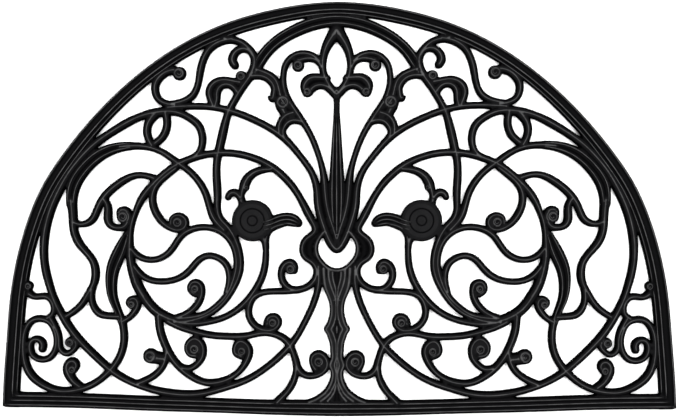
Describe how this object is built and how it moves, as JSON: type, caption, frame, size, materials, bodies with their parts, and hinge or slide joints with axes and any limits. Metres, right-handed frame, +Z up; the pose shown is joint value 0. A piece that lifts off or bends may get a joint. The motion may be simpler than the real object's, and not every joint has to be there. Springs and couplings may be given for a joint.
{
  "type": "rubber doormat",
  "caption": "Half-round moulded black rubber doormat of open scrollwork in a ribbed frame, flat underneath.",
  "frame": {"origin": "middle of the underside, at half the width and half the depth", "axes": "+X along the straight front edge, to the right as seen from the front; +Y back towards the top of the half round; +Z up, out of the patterned face"},
  "size_m": [0.75, 0.4616, 0.008],
  "materials": {
    "rubber": "matte moulded black rubber with a faint sheen on the ridges"
  },
  "bodies": {
    "root": {"doormat": "rubber"}
  },
  "joints": []
}
